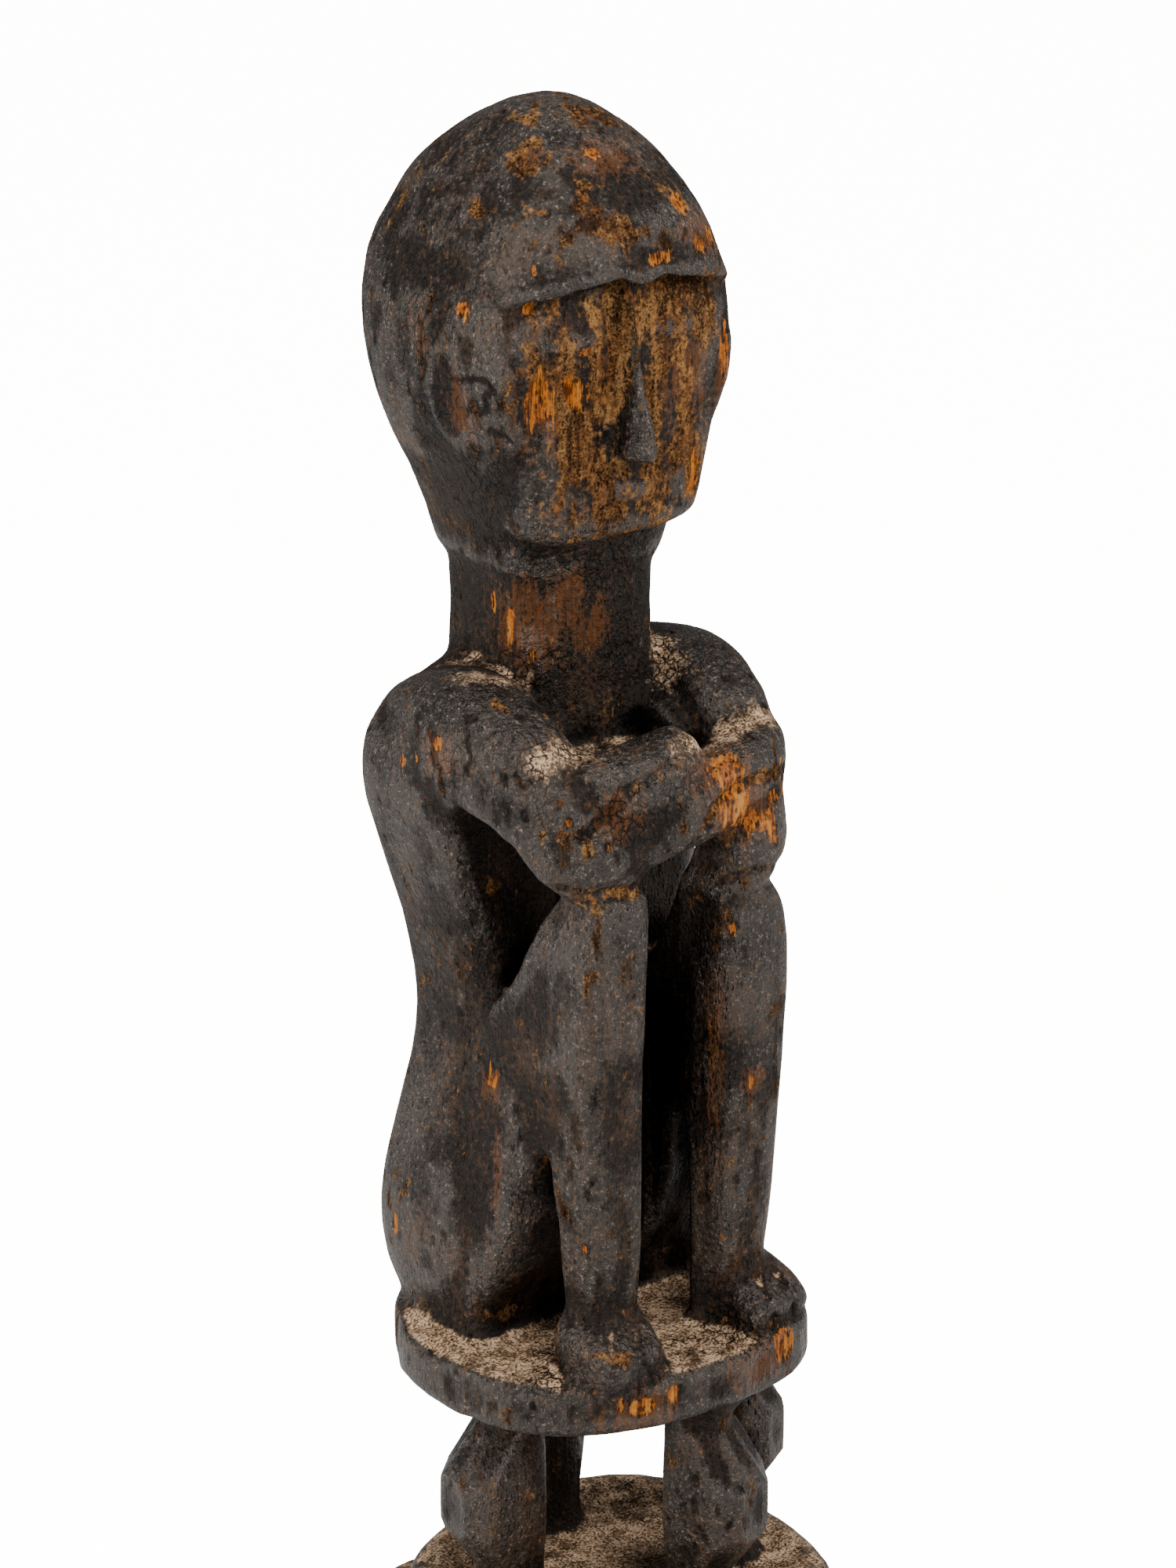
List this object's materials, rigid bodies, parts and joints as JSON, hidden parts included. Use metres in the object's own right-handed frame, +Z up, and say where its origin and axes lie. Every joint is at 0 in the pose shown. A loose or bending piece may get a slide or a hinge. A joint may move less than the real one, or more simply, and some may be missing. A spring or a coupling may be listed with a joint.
{
  "type": "carved wooden figure",
  "caption": "Seated guardian figure with arms crossed on its knees, carved in one block of dark hardwood with a round seat on bulging struts and a stepped foot",
  "frame": {"origin": "middle of the flat underside of the foot plate", "axes": "+Z up along the figure, the figure faces -Y, +X towards the figure's own left hand"},
  "size_m": [0.162, 0.162, 0.5375],
  "materials": {
    "dark_wood": "old hardwood under a dry charcoal-brown crust, with ochre dust in the hollows and bare orange-brown wood where it has flaked"
  },
  "bodies": {
    "root": {"carved_figure": "dark_wood"}
  },
  "joints": []
}
